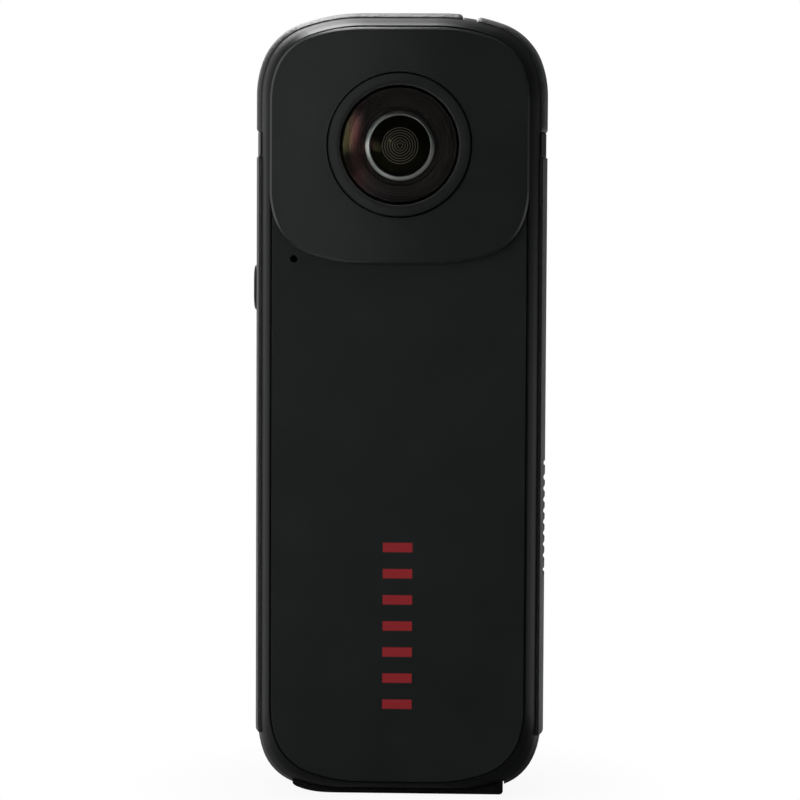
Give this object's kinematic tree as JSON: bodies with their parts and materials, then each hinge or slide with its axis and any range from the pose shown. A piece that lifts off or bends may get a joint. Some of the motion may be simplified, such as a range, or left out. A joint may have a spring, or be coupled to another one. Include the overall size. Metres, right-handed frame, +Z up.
{
  "type": "360 degree camera",
  "caption": "Slim upright camera with a domed fisheye lens on each face, a rear touch screen, a hinged battery door on its side and a tripod socket in its base.",
  "frame": {"origin": "mouth of the tripod socket, in the middle of the base plate that the camera stands on", "axes": "+Z up the body, -Y out of the front lens, +Y out of the rear lens and screen, +X out of the battery door"},
  "size_m": [0.0463, 0.0322, 0.123],
  "materials": {
    "frame_metal": "fine blasted black anodising",
    "cover_plastic": "fine satin black",
    "plate_plastic": "fine matt dark grey",
    "grip_rubber": "fine leather-like grain",
    "bezel_metal": "satin black with a fine turned edge",
    "optical_glass": "coated glass",
    "barrel_black": "deep matt black",
    "bright_ring": "turned bright metal",
    "seal_rubber": "soft black",
    "steel": "plain steel",
    "contact_brass": "gold-plated",
    "board": "green solder mask",
    "chip": "matt black moulding",
    "can_metal": "tinned sheet",
    "spreader": "plain sheet",
    "battery_wrap": "satin dark grey",
    "screen_glass": "black-backed gloss glass",
    "display": "dark panel"
  },
  "bodies": {
    "camera": {"antenna": "contact_brass", "base_plate": "cover_plastic", "base_screws": "steel", "battery": "battery_wrap", "battery_contacts": "contact_brass", "battery_tray": "barrel_black", "board_screws": "steel", "card_socket": "can_metal", "charging_socket": "steel", "display_module": "display", "door_gasket": "seal_rubber", "front_cover": "cover_plastic", "front_dome_lens": "optical_glass", "front_inner_lens": "optical_glass", "front_lens_barrel": "barrel_black", "front_lens_bezel": "bezel_metal", "front_lens_plate": "plate_plastic", "front_microphone": "can_metal", "front_prism": "optical_glass", "front_retaining_ring": "bright_ring", "heat_spreader": "spreader", "hinge_pins": "steel", "left_image_sensor": "chip", "left_relay_barrel": "barrel_black", "left_sensor_board": "board", "main_board": "board", "memory_card": "chip", "mid_frame": "frame_metal", "optical_bracket": "frame_metal", "port_board": "board", "power_switch_board": "board", "processor": "chip", "rear_cover": "cover_plastic", "rear_dome_lens": "optical_glass", "rear_inner_lens": "optical_glass", "rear_lens_barrel": "barrel_black", "rear_lens_bezel": "bezel_metal", "rear_lens_plate": "plate_plastic", "rear_microphone": "can_metal", "rear_prism": "optical_glass", "rear_retaining_ring": "bright_ring", "right_image_sensor": "chip", "right_relay_barrel": "barrel_black", "right_sensor_board": "board", "shield_can": "can_metal", "shoulder_grip": "grip_rubber", "shutter_switch_board": "board", "side_grip": "grip_rubber", "speaker": "chip", "top_grip": "grip_rubber", "touch_glass": "screen_glass", "tripod_socket": "steel"},
    "battery_door": {"battery_door": "grip_rubber"},
    "door_latch": {"door_latch": "cover_plastic"},
    "power_button": {"power_button": "bezel_metal"},
    "shutter_button": {"shutter_button": "bezel_metal"}
  },
  "joints": [
    {"name": "battery_door_hinge", "type": "hinge", "parent": "camera", "child": "battery_door", "pos_m": [0.02195, 0.0055, 0.05485], "axis": [0, 0, 1], "range_deg": [0, 95]},
    {"name": "door_latch_slide", "type": "slide", "parent": "battery_door", "child": "door_latch", "axis": [0, 0, -1], "range_m": [0, 0.00085]},
    {"name": "power_button_press", "type": "slide", "parent": "camera", "child": "power_button", "axis": [1, 0, 0], "range_m": [0, 0.00035], "stiffness_N_per_m": 600},
    {"name": "shutter_button_press", "type": "slide", "parent": "camera", "child": "shutter_button", "axis": [0, -1, 0], "range_m": [0, 0.0004], "stiffness_N_per_m": 600}
  ]
}
